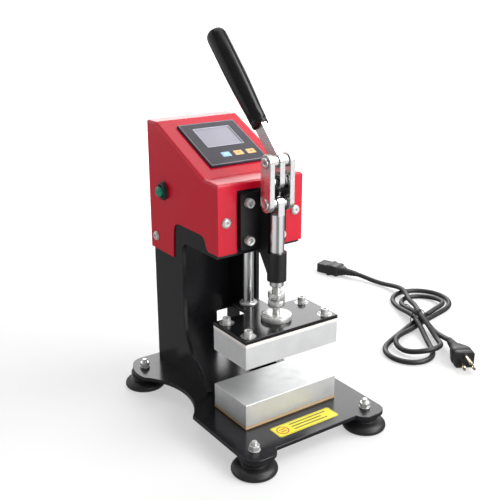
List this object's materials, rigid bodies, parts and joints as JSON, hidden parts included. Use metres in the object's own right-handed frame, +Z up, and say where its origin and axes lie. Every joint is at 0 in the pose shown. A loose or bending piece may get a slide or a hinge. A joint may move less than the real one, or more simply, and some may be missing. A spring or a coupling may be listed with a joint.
{
  "type": "heat press",
  "caption": "Small hand-lever heat press: toggle clamp over a guided heated upper platen, fixed heated lower platen, red sloped control housing on a black column, loose mains lead.",
  "frame": {"origin": "on the floor, under the middle of the press's footprint (the loose mains lead left out)", "axes": "+Z up, +Y towards the back of the press, +X to the right of someone facing its front"},
  "size_m": [0.5313, 0.4322, 0.4181],
  "materials": {
    "frame_black": "gloss powder coat",
    "clamp_black": "satin paint",
    "housing_red": "semi-gloss powder coat",
    "platen_aluminium": "bead-blasted satin",
    "press_plate_black": "gloss paint",
    "insulation_board": "matt fibre board",
    "board_pale": "pale fibre board",
    "zinc_steel": "bright zinc",
    "bright_steel": "polished nickel plate",
    "chrome_bar": "ground and chromed",
    "spindle_steel": "turned, zinc plated",
    "bush_brass": "machined",
    "heater_steel": "drawn tube",
    "grip_black": "glossy vinyl",
    "foot_rubber": "moulded rubber",
    "bezel_slate": "fine texture",
    "display": "clear window over a pale display",
    "board_green": "circuit board",
    "black_plastic": "moulded",
    "key_blue": "moulded",
    "key_orange": "moulded",
    "button_green": "glossy",
    "pin_brass": "nickel on brass",
    "label_yellow": "printed film",
    "lead_black": "PVC jacket"
  },
  "bodies": {
    "frame": {"base_plate": "frame_black", "side_plate_left": "frame_black", "side_plate_right": "frame_black", "back_plate": "frame_black", "head_front_plate": "frame_black", "head_floor_plate": "frame_black", "clamp_body": "clamp_black", "housing_shell": "housing_red", "housing_rear_cover": "housing_red", "lower_heat_block": "platen_aluminium", "lower_insulation": "insulation_board", "base_fasteners": "zinc_steel", "housing_screws": "zinc_steel", "clamp_fasteners": "zinc_steel", "pivot_pin": "bright_steel", "guide_bush": "bush_brass", "lower_heaters": "heater_steel", "foot_front_left": "foot_rubber", "foot_front_right": "foot_rubber", "foot_rear_left": "foot_rubber", "foot_rear_right": "foot_rubber", "lead_grommet": "foot_rubber", "controller_bezel": "bezel_slate", "display_window": "display", "controller_board": "board_green", "controller_case": "black_plastic", "push_button_body": "black_plastic", "inlet_socket": "black_plastic", "relays_and_terminal_block": "black_plastic", "inlet_pins": "pin_brass", "plug_blades": "pin_brass", "label_plate": "label_yellow", "lead_connector": "lead_black", "lead_tail": "lead_black", "lead_hank": "lead_black", "lead_end": "lead_black", "lead_plug": "lead_black", "lead_tie": "lead_black"},
    "handle": {"handle_bar": "bright_steel", "handle_grip": "grip_black", "crank_pin": "bright_steel"},
    "link_pair": {"links": "bright_steel", "link_studs": "bright_steel"},
    "plunger": {"plunger": "chrome_bar", "tongue_pin": "bright_steel"},
    "platen": {"press_plate": "press_plate_black", "upper_insulation": "board_pale", "upper_heat_block": "platen_aluminium", "upper_heaters": "heater_steel", "platen_fasteners": "zinc_steel", "guide_rod": "chrome_bar", "spindle_flange": "spindle_steel"},
    "spindle": {"spindle": "spindle_steel", "lock_nut": "spindle_steel"},
    "key_set": {"key_set": "key_blue"},
    "key_down": {"key_down": "key_orange"},
    "key_up": {"key_up": "key_orange"},
    "push_button": {"push_button_cap": "button_green"},
    "rocker": {"rocker_switch": "black_plastic"},
    "fuse_drawer": {"fuse_drawer": "black_plastic"}
  },
  "joints": [
    {"name": "handle_swing", "type": "hinge", "parent": "frame", "child": "handle", "pos_m": [0, -0.047, 0.274], "axis": [1, 0, 0], "range_deg": [0, 180]},
    {"name": "link_swing", "type": "hinge", "parent": "handle", "child": "link_pair", "pos_m": [0, -0.047, 0.294], "axis": [1, 0, 0], "range_deg": [-180, 0]},
    {"name": "plunger_slide", "type": "slide", "parent": "frame", "child": "plunger", "axis": [0, 0, -1], "range_m": [0, 0.04]},
    {"name": "pressure_adjust", "type": "slide", "parent": "plunger", "child": "platen", "axis": [0, 0, 1], "range_m": [0, 0.0045]},
    {"name": "spindle_turn", "type": "hinge", "parent": "platen", "child": "spindle", "pos_m": [0, -0.047, 0.1335], "axis": [0, 0, 1], "range_deg": [0, 1080]},
    {"name": "key_set_press", "type": "slide", "parent": "frame", "child": "key_set", "axis": [0, 0.4171, -0.9088], "range_m": [0, 0.0005], "stiffness_N_per_m": 600},
    {"name": "key_down_press", "type": "slide", "parent": "frame", "child": "key_down", "axis": [0, 0.4171, -0.9088], "range_m": [0, 0.0005], "stiffness_N_per_m": 600},
    {"name": "key_up_press", "type": "slide", "parent": "frame", "child": "key_up", "axis": [0, 0.4171, -0.9088], "range_m": [0, 0.0005], "stiffness_N_per_m": 600},
    {"name": "push_button_press", "type": "slide", "parent": "frame", "child": "push_button", "axis": [1, 0, 0], "range_m": [0, 0.002], "stiffness_N_per_m": 400},
    {"name": "rocker_tilt", "type": "hinge", "parent": "frame", "child": "rocker", "pos_m": [0, 0.123, 0.262], "axis": [1, 0, 0], "range_deg": [0, 9]},
    {"name": "fuse_drawer_slide", "type": "slide", "parent": "frame", "child": "fuse_drawer", "axis": [0, 1, 0], "range_m": [0, 0.018]}
  ],
  "couplings": [
    {"joint": "link_swing", "follows": "handle_swing", "ratio": -1},
    {"joint": "plunger_slide", "follows": "handle_swing", "m_per_rad": 0.01273},
    {"joint": "spindle_turn", "follows": "pressure_adjust", "rad_per_m": 4188.8}
  ]
}
